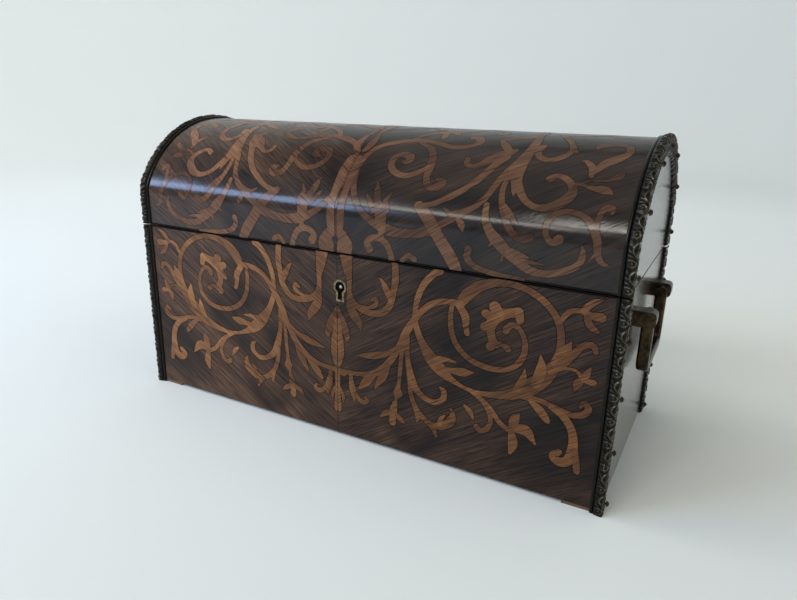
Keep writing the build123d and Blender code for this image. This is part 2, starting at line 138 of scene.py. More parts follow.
def tube_faces(stations, ring, first=0):
    """Quads between neighbouring closed rings of points, and a cap on each end."""
    i, j = np.meshgrid(np.arange(stations - 1), np.arange(ring), indexing="ij")
    k = (j + 1) % ring
    quads = np.stack([i * ring + j, (i + 1) * ring + j, (i + 1) * ring + k, i * ring + k], -1) + first
    caps = [list(range(first + ring - 1, first - 1, -1)),
            list(range(first + (stations - 1) * ring, first + stations * ring))]
    return quads.reshape(-1, 4).tolist() + caps


# Finishes: the seam's place and the reach of the joint's dirt and painted shade in millimetres, the slant of
# the grain in degrees, the gloss that all polished wood shares, and the depth of pores and pits in metres

SEAM_PLACE = -2.0
RIM_REACH = 2.0
GRAIN_SLANT = 32
END_SLANT = 90
POLISHED = {"Roughness": 0.5, "Specular_IOR_Level": 0.08, "Coat_Roughness": 0.13}
INLAY_POLISH = 0.36
PORE_DEPTH = 0.0001
PIT_DEPTH = 0.0004
BLACK = (0, 0, 0)
WHITE = (1, 1, 1)


def shader_node(tree, kind, inputs=None, **settings):
    """A shader node with its settings; an input is a value, or a socket to link."""
    made = tree.nodes.new(kind)
    for key, value in settings.items():
        setattr(made, key, value)
    for key, value in (inputs or {}).items():
        if isinstance(value, bpy.types.NodeSocket):
            tree.links.new(value, made.inputs[key])
        else:
            made.inputs[key].default_value = value
    return made


def new_finish(name, **sockets):
    """A material with one Principled shader whose plain values are given by socket name."""
    finish = bpy.data.materials.new(name)
    finish.use_nodes = True
    tree = finish.node_tree
    shader = tree.nodes["Principled BSDF"]
    for key, value in sockets.items():
        shader.inputs[key.replace("_", " ")].default_value = value
    return finish, tree, shader


def object_coords(tree):
    """Coordinates of the object in metres."""
    return shader_node(tree, "ShaderNodeTexCoord").outputs["Object"]


def apart(tree, vector):
    """The three numbers of a vector."""
    return shader_node(tree, "ShaderNodeSeparateXYZ", {"Vector": vector}).outputs


def joined(tree, x, y):
    """A flat vector of two numbers."""
    return shader_node(tree, "ShaderNodeCombineXYZ", {"X": x, "Y": y}).outputs["Vector"]


def ramp(tree, factor, stops):
    """Colour along a factor, by stops of place and colour."""
    made = shader_node(tree, "ShaderNodeValToRGB", {"Fac": factor})
    elements = made.color_ramp.elements
    while len(elements) < len(stops):
        elements.new(0.5)
    for element, (place, colour) in zip(elements, stops):
        element.position = place
        element.color = (*colour, 1)
    return made.outputs["Color"]


def stretched(tree, vector, scale, **noise):
    """Noise drawn out along a direction: the pattern repeats scale times per metre on each axis."""
    mapped = shader_node(tree, "ShaderNodeMapping", {"Vector": vector, "Scale": scale}).outputs["Vector"]
    made = shader_node(tree, "ShaderNodeTexNoise", {"Vector": mapped, "Scale": 1.0, **noise})
    return made.outputs["Fac"]


def blended(tree, kind, factor, first, second):
    """Two colours mixed."""
    made = shader_node(tree, "ShaderNodeMix", {0: factor, 6: first, 7: second},
                       data_type="RGBA", blend_type=kind)
    return made.outputs[2]


def darkened(tree, colour, shade, share=1.0):
    """A colour times a shade, by a share."""
    return blended(tree, "MULTIPLY", share, colour, shade)


def computed(tree, operation, *values):
    """A number worked out from others."""
    made = shader_node(tree, "ShaderNodeMath", dict(enumerate(values)), operation=operation)
    return made.outputs[0]


def weighted(tree, *terms):
    """The sum of numbers, each times its weight."""
    total = computed(tree, "MULTIPLY", *terms[0])
    for term in terms[1:]:
        total = computed(tree, "ADD", total, computed(tree, "MULTIPLY", *term))
    return total


def bumped(tree, shader, height, strength, depth, *sockets):
    """Fine relief from a height, on the shader's normals that are named."""
    bump = shader_node(tree, "ShaderNodeBump", {"Height": height, "Strength": strength, "Distance": depth})
    for socket in sockets:
        tree.links.new(bump.outputs["Normal"], shader.inputs[socket])


def sheet_lengths(tree, sheet):
    """Lengths across and up a sheet in metres: its own UV map, or two of the object's coordinates."""
    if sheet == "uv":
        return shader_node(tree, "ShaderNodeUVMap", uv_map="sheet").outputs["UV"]
    axes = apart(tree, object_coords(tree))
    return joined(tree, axes["X"] if sheet == "front" else axes["Y"], axes["Z"])


def slanted_grain(tree, sheet):
    """Lengths along and across the grain, book-matched about the seam, which slants up on the long sheets and
    stands upright on the ends; then the length from the seam and the length across the sheet."""
    across, up = list(apart(tree, sheet_lengths(tree, sheet)))[:2]
    half = computed(tree, "ABSOLUTE", computed(tree, "SUBTRACT", across, SEAM_PLACE * MM))
    slant = math.radians(-END_SLANT if sheet == "end" else -GRAIN_SLANT)
    turned = shader_node(tree, "ShaderNodeMapping", {"Vector": joined(tree, half, up),
                                                     "Rotation": (0, 0, slant)})
    return turned.outputs["Vector"], half, across


def joint_shade_and_dirt(tree):
    """White, but almost black in the joint between the case and the lid: painted shade in the gap, and dirt.
    """
    height = apart(tree, object_coords(tree))["Z"]
    off = computed(tree, "ABSOLUTE", computed(tree, "SUBTRACT", height, joint_z * MM))
    place = computed(tree, "MULTIPLY", off, 1 / (RIM_REACH * MM))
    return ramp(tree, place, [(0.35, (0.04, 0.035, 0.035)), (0.5, WHITE)])


def dark_seam(tree, half):
    """White, but dark on the hairline where the two halves of a sheet meet."""
    return ramp(tree, computed(tree, "MULTIPLY", half, 1 / MM), [(0.14, (0.2, 0.2, 0.2)), (0.32, WHITE)])


def painted_light_falloff(tree, across, middle, right):
    """Painted light: white on the left, where the light falls strongest, and darker in the middle and on the
    right.
    """
    place = computed(tree, "MULTIPLY_ADD", across, 1 / (2 * half_length * MM), 0.5)
    return ramp(tree, place, [(0.2, WHITE), (0.52, middle), (0.95, right)])


def rosewood(name, sheet, polish, lightness=1.0, light_falloff=None):
    """Dark figured rosewood under polish: broad dark bands, streaks, fine pale saw lines, pores and dark
    clouds along the grain, dirt and painted shade in the joint, the long sheets' seam and painted light
    falloff."""
    finish, tree, shader = new_finish(name, Coat_Weight=polish, **POLISHED)
    on_end = sheet == "end"
    grain, half, across = slanted_grain(tree, sheet)
    broad = stretched(tree, grain, (6, 60, 1), Detail=3.0, Distortion=0.7)
    streak = stretched(tree, grain, (24, 1000, 1), Detail=4.0, Roughness=0.70)
    cloud = stretched(tree, grain, (9, 17, 1), Detail=2.0, Distortion=1.2)
    lines = stretched(tree, grain, (30, 1500, 1), Detail=2.0)
    pores = stretched(tree, grain, (55, 1900, 1), Detail=3.0, Roughness=0.6)
    figure = weighted(tree, (broad, 0.42), (streak, 0.58))
    tones = lightness * np.array([(0.0058, 0.0044, 0.0052), (0.023, 0.0125, 0.0088), (0.053, 0.0265, 0.0150),
                                  (0.112, 0.056, 0.030)])
    colour = ramp(tree, figure, list(zip((0.34, 0.44, 0.53, 0.66), tones.tolist())))
    pale = ramp(tree, lines, [(0.55, BLACK), (0.68, (0.050, 0.030, 0.020))])
    colour = blended(tree, "ADD", 0.7, colour, pale)
    colour = darkened(tree, colour, ramp(tree, pores, [(0.40, (0.10, 0.09, 0.10)), (0.54, WHITE)]), 0.85)
    shade = ramp(tree, cloud, [(0.35, (0.15, 0.16, 0.20)), (0.47, WHITE)])
    colour = darkened(tree, colour, shade, 0.3 if on_end else 0.85)
    if sheet != "uv":
        colour = darkened(tree, colour, joint_shade_and_dirt(tree))
    if not on_end:
        colour = darkened(tree, colour, dark_seam(tree, half))
        colour = darkened(tree, colour, painted_light_falloff(tree, across, *light_falloff))
    tree.links.new(colour, shader.inputs["Base Color"])
    relief = weighted(tree, (pores, 1.0), (streak, 0.7))
    bumped(tree, shader, relief, 0.3 if on_end else 0.35, PORE_DEPTH, "Normal", "Coat Normal")
    return finish


def inlay_wood(name, dark, middle, pale, light_falloff):
    """Warm brown inlay under polish: each piece has its own tone, fine streaks run along the slanted grain
    with a few dark cracks, and the seam and the sheet's painted falloff of light go on over it."""
    finish, tree, shader = new_finish(name, Coat_Weight=INLAY_POLISH, **POLISHED)
    grain, half, across = slanted_grain(tree, "uv")
    broad = stretched(tree, grain, (14, 60, 1), Detail=3.0)
    streak = stretched(tree, grain, (40, 700, 1), Detail=5.0, Roughness=0.68)
    fine = stretched(tree, grain, (45, 1700, 1), Detail=2.0)
    crack = stretched(tree, grain, (60, 900, 1), Detail=1.0)
    tone = shader_node(tree, "ShaderNodeAttribute", attribute_name="tone").outputs["Fac"]
    figure = weighted(tree, (broad, 0.5), (streak, 0.5), (tone, 0.12))
    colour = ramp(tree, figure, [(0.38, dark), (0.54, middle), (0.72, pale)])
    colour = darkened(tree, colour, ramp(tree, fine, [(0.40, (0.35, 0.31, 0.30)), (0.53, WHITE)]), 0.55)
    colour = darkened(tree, colour, ramp(tree, crack, [(0.32, (0.14, 0.11, 0.10)), (0.38, WHITE)]), 0.8)
    colour = darkened(tree, colour, dark_seam(tree, half))
    colour = darkened(tree, colour, painted_light_falloff(tree, across, *light_falloff))
    tree.links.new(colour, shader.inputs["Base Color"])
    bumped(tree, shader, streak, 0.2, PORE_DEPTH, "Normal", "Coat Normal")
    return finish


def plain_wood(name, dark, pale, along):
    """Plain stained wood with straight grain along one axis of the object, and dirt and painted shade in the
    joint.
    """
    finish, tree, shader = new_finish(name, Roughness=0.6)
    scale = tuple(12.0 if axis == along else 420.0 for axis in "XYZ")
    streak = stretched(tree, object_coords(tree), scale, Detail=5.0, Roughness=0.6)
    colour = darkened(tree, ramp(tree, streak, [(0.35, dark), (0.65, pale)]), joint_shade_and_dirt(tree))
    tree.links.new(colour, shader.inputs["Base Color"])
    return finish


def worn_metal(name, dark, pale, roughness, scale=260.0):
    """Old metal with tarnish patches of two tones."""
    finish, tree, shader = new_finish(name, Metallic=1.0, Roughness=roughness)
    patch = stretched(tree, object_coords(tree), (scale, scale, scale), Detail=5.0, Roughness=0.65)
    tree.links.new(ramp(tree, patch, [(0.36, dark), (0.64, pale)]), shader.inputs["Base Color"])
    bumped(tree, shader, patch, 0.15, PIT_DEPTH, "Normal")
    return finish


def cast_brass():
    """Dark patinated cast brass: hollows almost black, high relief worn to a brown grey."""
    finish, tree, shader = new_finish("cast_brass", Metallic=0.9, Roughness=0.32)
    height = shader_node(tree, "ShaderNodeAttribute", attribute_name="relief").outputs["Fac"]
    patch = stretched(tree, object_coords(tree), (420, 420, 420), Detail=5.0, Roughness=0.7)
    tone = weighted(tree, (height, 0.7), (patch, 0.6))
    colour = ramp(tree, tone, [(0.25, (0.006, 0.0055, 0.0048)), (0.66, (0.024, 0.021, 0.016)),
                               (1.0, (0.125, 0.102, 0.066))])
    tree.links.new(colour, shader.inputs["Base Color"])
    bumped(tree, shader, patch, 0.2, PIT_DEPTH, "Normal")
    return finish


# The last pair of colours on the long sheets is their painted light falloff, in the middle and on the right.
front_rosewood = rosewood("front_rosewood", "front", 0.30, 2.2, ((0.49, 0.50, 0.52), (0.365, 0.385, 0.42)))
dome_rosewood = rosewood("dome_rosewood", "uv", 0.55, 1.45, ((0.33, 0.36, 0.40), (0.34, 0.37, 0.42)))
end_rosewood = rosewood("end_rosewood", "end", 1.0)
front_inlay_wood = inlay_wood("front_inlay_wood", (0.060, 0.0239, 0.0096), (0.196, 0.0816, 0.029),
                              (0.37, 0.170, 0.065), ((0.60, 0.575, 0.53), (0.595, 0.565, 0.53)))
lid_inlay_wood = inlay_wood("lid_inlay_wood", (0.047, 0.0215, 0.0125), (0.143, 0.064, 0.0315),
                            (0.248, 0.122, 0.062), ((0.70, 0.69, 0.66), (0.60, 0.61, 0.61)))
kerf_dark = new_finish("kerf_dark", Base_Color=(0.006, 0.0045, 0.004, 1), Roughness=0.8,
                       Specular_IOR_Level=0.0)[0]
stained_along = plain_wood("stained_along", (0.075, 0.040, 0.021), (0.19, 0.108, 0.058), "X")
stained_across = plain_wood("stained_across", (0.075, 0.040, 0.021), (0.19, 0.108, 0.058), "Y")
foot_wood = plain_wood("foot_wood", (0.065, 0.036, 0.021), (0.16, 0.090, 0.052), "X")
handle_brass = worn_metal("handle_brass", (0.022, 0.016, 0.010), (0.085, 0.060, 0.034), 0.36)
fitting_brass = worn_metal("fitting_brass", (0.24, 0.165, 0.08), (0.52, 0.40, 0.24), 0.30)
escutcheon_brass = worn_metal("escutcheon_brass", (0.075, 0.058, 0.032), (0.36, 0.29, 0.17), 0.36, 900.0)
lock_steel = worn_metal("lock_steel", (0.20, 0.19, 0.18), (0.46, 0.45, 0.43), 0.34)
mount_brass = cast_brass()


def paint(finish, *names):
    """Gives CAD nodes a finish."""
    for name in names:
        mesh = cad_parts[name].data
        mesh.materials.clear()
        mesh.materials.append(finish)


paint(front_rosewood, "case_front_veneer", "case_back_veneer")
paint(end_rosewood, "case_left_veneer", "case_right_veneer", "lid_left_veneer", "lid_right_veneer")
paint(stained_along, "case_front_board", "case_back_board", "case_bottom_board", "lid_front_rail",
      "lid_back_rail", *(f"lid_stave_{number}" for number in range(1, 7)))
paint(stained_across, "case_left_board", "case_right_board", "lid_left_end", "lid_right_end")
paint(foot_wood, "corner_feet")
paint(handle_brass, "left_bail", "right_bail", "left_handle_posts", "right_handle_posts", "left_handle_nuts",
      "right_handle_nuts", "case_mount_pins", "lid_mount_pins")
paint(escutcheon_brass, "keyhole_escutcheon")
paint(fitting_brass, "lock_plate", "strike_plate", "strike_staples",
      *(f"{side}_hinge_{part}" for side in ("left", "right") for part in ("case_leaf", "lid_leaf", "pin")))
paint(lock_steel, "lock_key_pin", "lock_bolt", "lock_screws", "strike_screws", "hinge_case_screws",
      "hinge_lid_screws")

# Dome veneer

DOME_STEPS = 460
DOME_STATIONS = 9


def dome_skin():
    """The dome's veneer: its profile, and the same profile a veneer's thickness inside, along the length."""
    run = np.linspace(0, 2 * arch_half, DOME_STEPS)
    outer = np.stack(dome_place(run, np.zeros(DOME_STEPS)), -1)
    inner = np.stack(dome_place(run, np.full(DOME_STEPS, -VENEER)), -1)
    section = np.concatenate([outer, inner[::-1]])
    x = np.repeat(np.linspace(-half_length, half_length, DOME_STATIONS), len(section))
    points = np.column_stack([x, np.tile(section, (DOME_STATIONS, 1))])
    up = case_height + np.concatenate([run, run[::-1]])
    sheet = np.column_stack([x, np.tile(up, DOME_STATIONS)])
    skin = mesh_piece("dome_skin", points, tube_faces(DOME_STATIONS, len(section)), dome_rosewood, "lid",
                      sheet)
    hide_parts("lid_dome_veneer")


dome_skin()

# Marquetry: (across, up, half-width) along each stem and leaf, in millimetres on the unrolled sheet.
# One half is given; the other is its mirror about the axis.

FRONT_SCROLLS = [
    [(71, 91.5, 2.2), (75, 97.5, 3.2), (82, 103.3, 2.6), (92, 106.2, 1.8), (102, 105.6, 1.6),
     (111, 102, 1.7), (118, 96, 1.7), (121.8, 89, 1.8), (122.8, 81, 1.9), (122, 73, 2.6),
     (118, 64.5, 3.6), (111, 57, 4.2), (103, 51.2, 3.2), (94, 48, 2), (85, 46.7, 1.3), (77, 47.4, 1.1),
     (70, 49.6, 1.3)],
    [(59.5, 107.5, 2.2), (56, 105, 1.8), (51, 99, 1.8), (48, 92, 1.7), (46.6, 85, 1.5), (46.5, 80, 1.5),
     (48, 74, 1.8), (51, 67.5, 2.2), (56, 60.5, 3.6), (62, 54.8, 3.6), (68, 50.8, 2), (74, 48.3, 1)],
    [(62, 54.5, 2), (68, 55.3, 1.6), (75, 56, 2.3), (80.5, 57, 0.4)],
    [(60, 60, 2), (66, 60.8, 1.2), (71, 60.5, 0.3)],
    [(72, 92, 1.8), (66, 92.3, 1.6), (60, 91.2, 1.6), (54, 88, 1.7), (49.5, 83.5, 1.7), (45.5, 78, 2),
     (42.5, 73, 2.2), (40, 68, 2.2)],
    [(67, 90.5, 1.2), (66.6, 83, 1.5), (68, 75, 1.6), (71.5, 69, 1.6), (77, 64.5, 1.6), (84, 62, 1.6),
     (92, 61.5, 1.5), (99, 63.5, 1.5), (104, 68, 1.6), (106, 74, 1.6), (105.5, 80, 1.4), (102.5, 85, 1.3),
     (99, 86.3, 1.5), (96.6, 84.4, 1.8), (96, 82.8, 1.9)],
    [(71, 91, 1.8), (74.5, 86, 2.2), (75, 81, 1.6), (76, 77.5, 1.5)],
    [(101.5, 93, 2.6), (97, 91.8, 2.4), (92.6, 90.2, 3.2), (88.8, 86.2, 3), (88.2, 81, 2.2),
     (89.6, 76.5, 2.2), (91.5, 74.5, 1.8)],
    [(92, 90, 2.6), (89.6, 93.6, 3)],
    [(90, 88, 2.5), (85, 89.6, 2.2)],
    [(88.5, 85, 2), (84.5, 82.6, 2)],
    [(101.8, 93, 2.2), (102.6, 89, 2)],
    [(90, 75.5, 2), (88.6, 73, 2.4)],
    [(91.5, 75, 1.6), (95, 75.2, 1.2), (97.5, 73.8, 1.9)],
    [(121, 72, 2), (125, 77.5, 3), (127.5, 83.5, 0.4)],
    [(123, 70, 2.5), (129, 77.5, 2), (133, 82.5, 1.6), (137.5, 83.5, 1.6), (139, 80.5, 1.2)],
    [(119, 66, 1), (125, 69.5, 0.8), (131, 69.8, 0.8), (134.5, 66.5, 1.2)],
    [(134.5, 66.5, 1.2), (136, 69, 1.8), (137.5, 72.5, 0.5)],
    [(134.5, 66.5, 1.2), (132.5, 63.5, 2.2), (131.5, 60, 0.8)],
    [(135, 66, 1.2), (139.5, 65.5, 1.6)],
    [(121.5, 92, 1.2), (124.5, 97, 1.4), (129, 99, 1.2), (134, 98, 1.5)],
    [(131.5, 99.5, 1.5), (135, 103.5, 1.6), (139.5, 105.8, 0.5)],
    [(134, 97.5, 1.6), (139.5, 97.5, 2.2)],
    [(133, 96.5, 1.4), (135, 92.8, 1.8), (138.5, 90.5, 1)],
    [(113, 59, 2.5), (114.8, 67, 2.6), (114, 74, 0.3)],
    [(104, 54, 2), (106.5, 60, 1.8), (107, 65, 0.3)],
    [(108, 50.5, 1.6), (116, 50.5, 1.4), (124, 48.5, 1.5), (131, 47, 1.5), (136.5, 48.5, 1.6),
     (138.8, 52, 1.7), (136.5, 54.3, 1.4), (135, 52.3, 0.9)],
    [(121, 48.5, 1.2), (127, 45.5, 1.8), (131.5, 40.5, 2), (133.5, 34, 2.2), (133.5, 27.5, 2.6),
     (132, 22.5, 2.6), (128, 20.5, 2.4), (124.8, 23, 2.2), (127.5, 26, 1.5)],
    [(134.5, 28, 2), (136, 22.5, 1.8), (136.8, 18, 1.6)],
    [(111, 49, 1), (116, 45.5, 2.2), (120, 41, 1.6), (121, 39.5, 0.3)],
    [(78, 47.5, 1), (84, 44.5, 1.3), (91, 39.5, 1.3), (96, 33.5, 1.4), (101, 30.5, 1.4)],
    [(102.5, 31, 1.5), (104, 37, 2.6), (106, 41, 0.4)],
    [(103, 31.5, 1.5), (110, 32.5, 3), (115.5, 26.5, 0.5)],
    [(102.5, 31, 1.5), (104, 23.5, 2.6), (103, 18, 1)],
    [(86, 43.5, 1.2), (90, 38, 1.4), (91.5, 33, 1.3), (90, 28, 1.5), (86.5, 25.8, 1.6), (84, 27.5, 1.6)],
    [(77, 37.5, 0.8), (80, 35, 1.6), (82, 31.5, 0.6)],
    [(42, 68, 2), (42.5, 60, 1.6), (43.5, 52, 1.7), (44.5, 44, 1.4), (45.5, 36.5, 1.5), (48, 30, 1.6),
     (52, 25, 1.8), (58, 21.5, 1.7), (64.5, 22.5, 2.4), (69.5, 26.5, 2.6), (70.5, 31, 1.4),
     (69, 34, 0.3)],
    [(63, 23, 1.5), (64, 26.5, 1.3), (66, 29, 0.4)],
    [(48.5, 28, 1.2), (50, 23.5, 1.4), (49.5, 20.5, 0.5)],
    [(57, 21.5, 1.2), (60, 18.5, 1.4), (61.5, 15.5, 1)],
    [(43, 56, 1.2), (45.5, 46, 2.2), (49, 39.5, 2), (54.5, 35.8, 1.6), (60, 35, 1.6), (64.5, 38, 1.7),
     (64.8, 42.5, 1.6), (62.5, 44.5, 0.6)],
    [(40, 66, 1.2), (39, 56, 1.3), (38.5, 48, 1.3), (38, 42, 1.2), (37.5, 38, 1.6), (37.5, 34.5, 3),
     (36.5, 31, 1), (36, 27, 1.6)],
    [(35.5, 28, 1.4), (35, 24, 2.4), (34.5, 20, 2)],
    [(34, 22, 1.5), (30, 20.8, 1.8), (27, 18, 0.6)],
    [(36, 21.5, 1.5), (39.5, 19.5, 1.6), (42, 17.5, 0.6)],
    [(34.5, 21, 1.8), (34.5, 16.3, 2.2)],
    [(40, 68, 1.8), (36.5, 60, 1.8), (32.5, 53, 2), (27, 46.5, 2.2), (20, 42, 1.8), (12, 40.3, 1.4),
     (4, 39.6, 1.6), (-2, 38.5, 2)],
    [(31, 50, 1.6), (28, 43, 2.6), (24, 36, 1.2), (23, 33.5, 0.4)],
    [(22, 42, 1.6), (17, 36.5, 2.6), (13, 32, 1)],
    [(37, 62, 0.8), (30, 56.5, 1.6), (23, 54, 2.2), (17, 52.5, 1.6), (11, 51.5, 0.4)],
    [(7, 38, 1.2), (7.5, 31, 1.8), (9, 25, 1.2), (9, 22.5, 0.4)],
    [(8.5, 33, 1), (10.5, 27, 1.3), (14.5, 23.6, 1.6), (18, 25, 1.4), (17, 27, 0.8)],
]
FRONT_UPPER_AXIS = -4.0
FRONT_UPPER = [
    [(8, 107.5, 4), (9, 100, 3), (10, 94, 1.7), (10, 88, 1.6), (12, 83, 1.9), (17, 79.5, 1.9),
     (24, 77.8, 1.8), (31, 79.5, 2), (35.5, 84.5, 2), (37.3, 91.5, 1.9), (38.5, 99, 2.1),
     (38, 107.5, 1.9)],
    [(36, 86, 1), (33.5, 92, 2), (30.5, 97, 1), (28.5, 98.5, 0.3)],
    [(18, 80.5, 1), (23, 81, 1), (27, 83.5, 1.4), (26.5, 86.5, 1.3), (24, 85, 0.7)],
    [(10, 86, 1.5), (10.5, 79.5, 2.4), (13, 75, 3), (16.5, 70.5, 2.2), (17.5, 66.5, 0.4)],
]
FRONT_LOWER_AXIS = -2.0
FRONT_LOWER = [
    [(0.4, 78, 0.4), (2, 73, 1.8), (4.4, 67.3, 2.6), (6.2, 62.5, 2.2), (6.6, 59.3, 1.2)],
    [(0.9, 70, 1.2), (1.4, 63, 1.7), (2, 57, 2.2), (2.4, 51, 2.2), (1.7, 46, 1.6), (0.9, 41, 1),
     (0.8, 34, 0.9), (0.8, 27, 0.9), (1.1, 21, 1.2), (1.3, 16.5, 1.3), (1.1, 14, 0.8)],
    [(1.6, 29, 0.7), (3.6, 24, 1.2), (3.8, 20, 0.5)],
]
LID_SCROLLS = [
    [(2.5, 163, 1.7), (2, 156, 1.7), (3, 150, 1.7), (5, 143, 1.7), (9, 136, 1.7), (15, 130, 1.8),
     (22, 126, 2.2), (28, 124, 3), (36, 123, 2.5), (45, 123.8, 2.3), (53, 126.5, 2.8), (58, 129.5, 2),
     (66, 134.5, 1.8), (73, 139.5, 1.8), (78, 145, 1.6), (80.5, 151, 1.6), (83, 158, 1.8),
     (86.5, 165, 2.5), (90, 172, 3.5)],
    [(2.5, 163, 1.7), (4.5, 170, 1.8), (9, 176, 2), (16, 180, 2.4), (24, 182.5, 2.2), (33, 183, 2),
     (42, 180.5, 1.8), (50, 178, 1.8), (58, 180, 2), (62, 184.5, 2.2), (60, 189.5, 2.4), (56.5, 190, 2)],
    [(30, 180.5, 1.2), (33, 179, 1.4), (38.5, 175, 1.9), (42, 168.5, 2.2), (43.5, 161, 2.2),
     (44, 154.5, 1.8), (46.5, 149.5, 2), (51, 149, 2.4), (53.5, 152, 2.4), (50.5, 153.5, 1)],
    [(42.5, 161.5, 1.2), (38, 156.5, 1.7), (31.5, 154.2, 1.8), (25, 156, 1.9), (21, 160.5, 1.9),
     (20.8, 166, 2), (24.5, 169.2, 2.2), (29.5, 167.5, 2.4), (29.5, 164, 2.2), (26.5, 163.5, 1)],
    [(25, 126, 3), (24.5, 132, 3.4), (22, 137, 2)],
    [(21.5, 137, 2), (19.5, 143.5, 2), (18, 148.5, 0.4)],
    [(20, 133, 1.5), (16.5, 138, 1.3), (14, 141, 0.3)],
    [(27, 134, 2.4), (26, 139, 1.4), (28, 143.5, 0.5)],
    [(26, 124, 1.8), (25, 119.5, 1.8)],
    [(18.5, 112.5, 2.4), (17, 116, 1.8), (22, 119, 1.8), (28, 117, 1.8), (31, 112, 1.8),
     (32, 108.5, 1.8)],
    [(38, 109, 1.2), (41.5, 112, 1.4), (45, 110.5, 1.6)],
    [(45, 138, 2.5), (52, 131.5, 3.2), (59, 122, 3.2), (65, 114, 3.4), (68, 109, 3)],
    [(45, 137.5, 1.4), (53, 140, 1.5), (61, 145, 1.7), (68.5, 151.5, 1.8), (73.5, 158.5, 2),
     (77, 166, 2.2), (80, 172, 3)],
    [(61.5, 168.5, 1.6), (62.3, 165, 1.4), (66, 163.8, 1.4), (70, 166.3, 1.8), (74, 170.5, 3.2),
     (79, 174.5, 3.6), (83.5, 178.5, 1.5)],
    [(80, 178, 2), (76, 183.5, 2.2), (72.5, 188.5, 0.5)],
    [(59, 138, 0.5), (63, 135.8, 1.3), (68, 137, 1.5), (72, 139, 1.2)],
    [(67, 133.5, 0.8), (69.5, 131, 1.8), (70.5, 128.3, 0.5)],
    [(90, 200, 1.5), (91, 190, 2.2), (91, 180, 2.6), (90, 172, 3.2), (89, 164, 4), (90.5, 157, 2.8),
     (94, 151, 2), (98, 146, 1.6), (104, 143.2, 1.6), (110, 144, 2.2), (115, 147.5, 2.6), (118, 152, 2.4),
     (117, 156.5, 1.8), (113, 160.5, 1.6), (109, 161.5, 1.4), (106, 159.5, 1.8)],
    [(86.5, 160, 1.4), (85.5, 152, 1.4), (87, 144, 1.5), (90, 137, 1.6), (94.5, 130.5, 1.7),
     (99.5, 127.5, 1.8), (103.5, 128.8, 2)],
    [(88.5, 143, 1), (92, 138.5, 1.7), (97, 134, 0.5)],
    [(89, 158, 1.5), (91, 151, 1.2), (91.5, 148, 0.3)],
    [(80, 142, 1.4), (81, 135, 1.8), (84.5, 129, 2.4), (88, 125.5, 3), (93, 121, 2.6), (99, 117, 2.4),
     (105, 113.5, 2), (113, 113, 1.7), (121, 115.5, 1.6), (126.5, 119, 1.6), (128.3, 124, 1.4),
     (127.5, 127.5, 0.5)],
    [(87, 126, 1), (84.5, 122.5, 0.4)],
    [(92, 121, 1), (91, 116, 0.4)],
    [(94, 122, 1.2), (99, 120.5, 1.4), (104, 119.2, 0.3)],
    [(100, 118, 1), (105, 117.3, 0.9), (111, 117, 0.3)],
    [(74, 119.5, 1.8), (73.5, 115.5, 1.8), (77, 111.8, 1.6), (84, 110, 1.4), (92, 109, 1.3),
     (102, 108.5, 1.2)],
    [(117, 129.5, 2.2), (114, 127.5, 1.4), (110.8, 131, 1.4), (110.5, 136.5, 1.5), (113.5, 141, 1.5),
     (119, 142.8, 1.4), (125, 141.5, 1.4), (130, 137.5, 1.8), (133.5, 131, 1.8), (134.5, 125, 1.6),
     (136.5, 121.5, 1.2), (139.5, 120.5, 0.4)],
    [(132, 135, 1.2), (132.3, 141, 1.3), (134, 146, 1.6), (137, 146, 1.8), (137.3, 144, 0.8)],
    [(134, 125, 1), (131, 121.5, 0.3)],
    [(95.5, 184, 2), (95, 178, 1.6), (97.5, 173.5, 1.7), (103, 172.3, 1.8), (108, 175.5, 1.8),
     (110.5, 181, 1.6), (109, 188, 1.4), (105, 195, 1.6), (100, 203, 1.2)],
    [(101, 203, 1.2), (107, 192, 1.6), (113, 180, 1)],
    [(124, 163, 1.2), (123.5, 168, 1.8), (120, 172.5, 1.2), (117.5, 173, 0.3)],
    [(125, 166, 1.4), (128.5, 172, 2.6), (134, 177.5, 2.6), (137, 183.5, 1.8), (134.5, 189, 2),
     (128.5, 190.5, 2.2), (123, 187.5, 2.2), (122, 184.5, 1)],
    [(118, 156, 0.8), (124, 160, 0.8), (131, 160.8, 0.8), (136, 163.5, 1.8), (138, 166, 0.6)],
    [(119, 158, 0.6), (126, 156, 1.2), (132, 155.3, 2.2), (135.5, 153.5, 0.5)],
    [(24, 184, 1.6), (28, 190, 1.6), (35, 195.5, 2), (42, 197.5, 2.4), (46, 194, 1.6)],
    [(38.5, 196, 1.6), (39.5, 191, 2), (40, 187, 1.2)],
    [(72.5, 188, 1), (80, 192, 1.8), (88, 196, 2)],
    [(90, 198, 1.6), (90.5, 205, 2), (89, 212.5, 1.8)],
    [(42, 197, 1.8), (50, 201, 1.7), (57, 206, 1.7), (60, 212.5, 1.6)],
    [(59, 209, 1.2), (66, 206.5, 1.6), (71, 202.5, 1.8), (70, 198.5, 1.6), (67, 198.5, 0.8)],
    [(101, 203, 1.4), (112, 204.5, 1.7), (121, 207.5, 1.7), (125, 212.5, 1.6)],
    [(122, 208.5, 1.2), (129, 204.5, 2.2), (136, 202.5, 0.5)],
    [(3, 197, 1.2), (12, 200.5, 1.8), (21, 205.5, 1.7), (25, 212.5, 1.6)],
    [(23, 208, 1.2), (30, 205.5, 1.7), (33, 202, 1.7), (30.5, 199.5, 1.2)],
]
LID_CENTRE_AXIS = -3.0
LID_CENTRE = [
    [(5.5, 108.5, 4.6), (6, 113, 5), (5, 118, 2.5)],
    [(2.5, 118, 2.2), (3, 126, 2.6), (3.2, 136, 2.2), (3, 146, 2.4), (3, 156, 2.4), (2.5, 164, 1.8)],
    [(3, 170, 1.6), (4, 177, 2.4), (3.5, 185, 1.4), (2, 192, 1.5)],
    [(2, 192, 1.5), (2.8, 199, 2.2), (3.4, 206, 2), (3, 212.5, 1.8)],
]
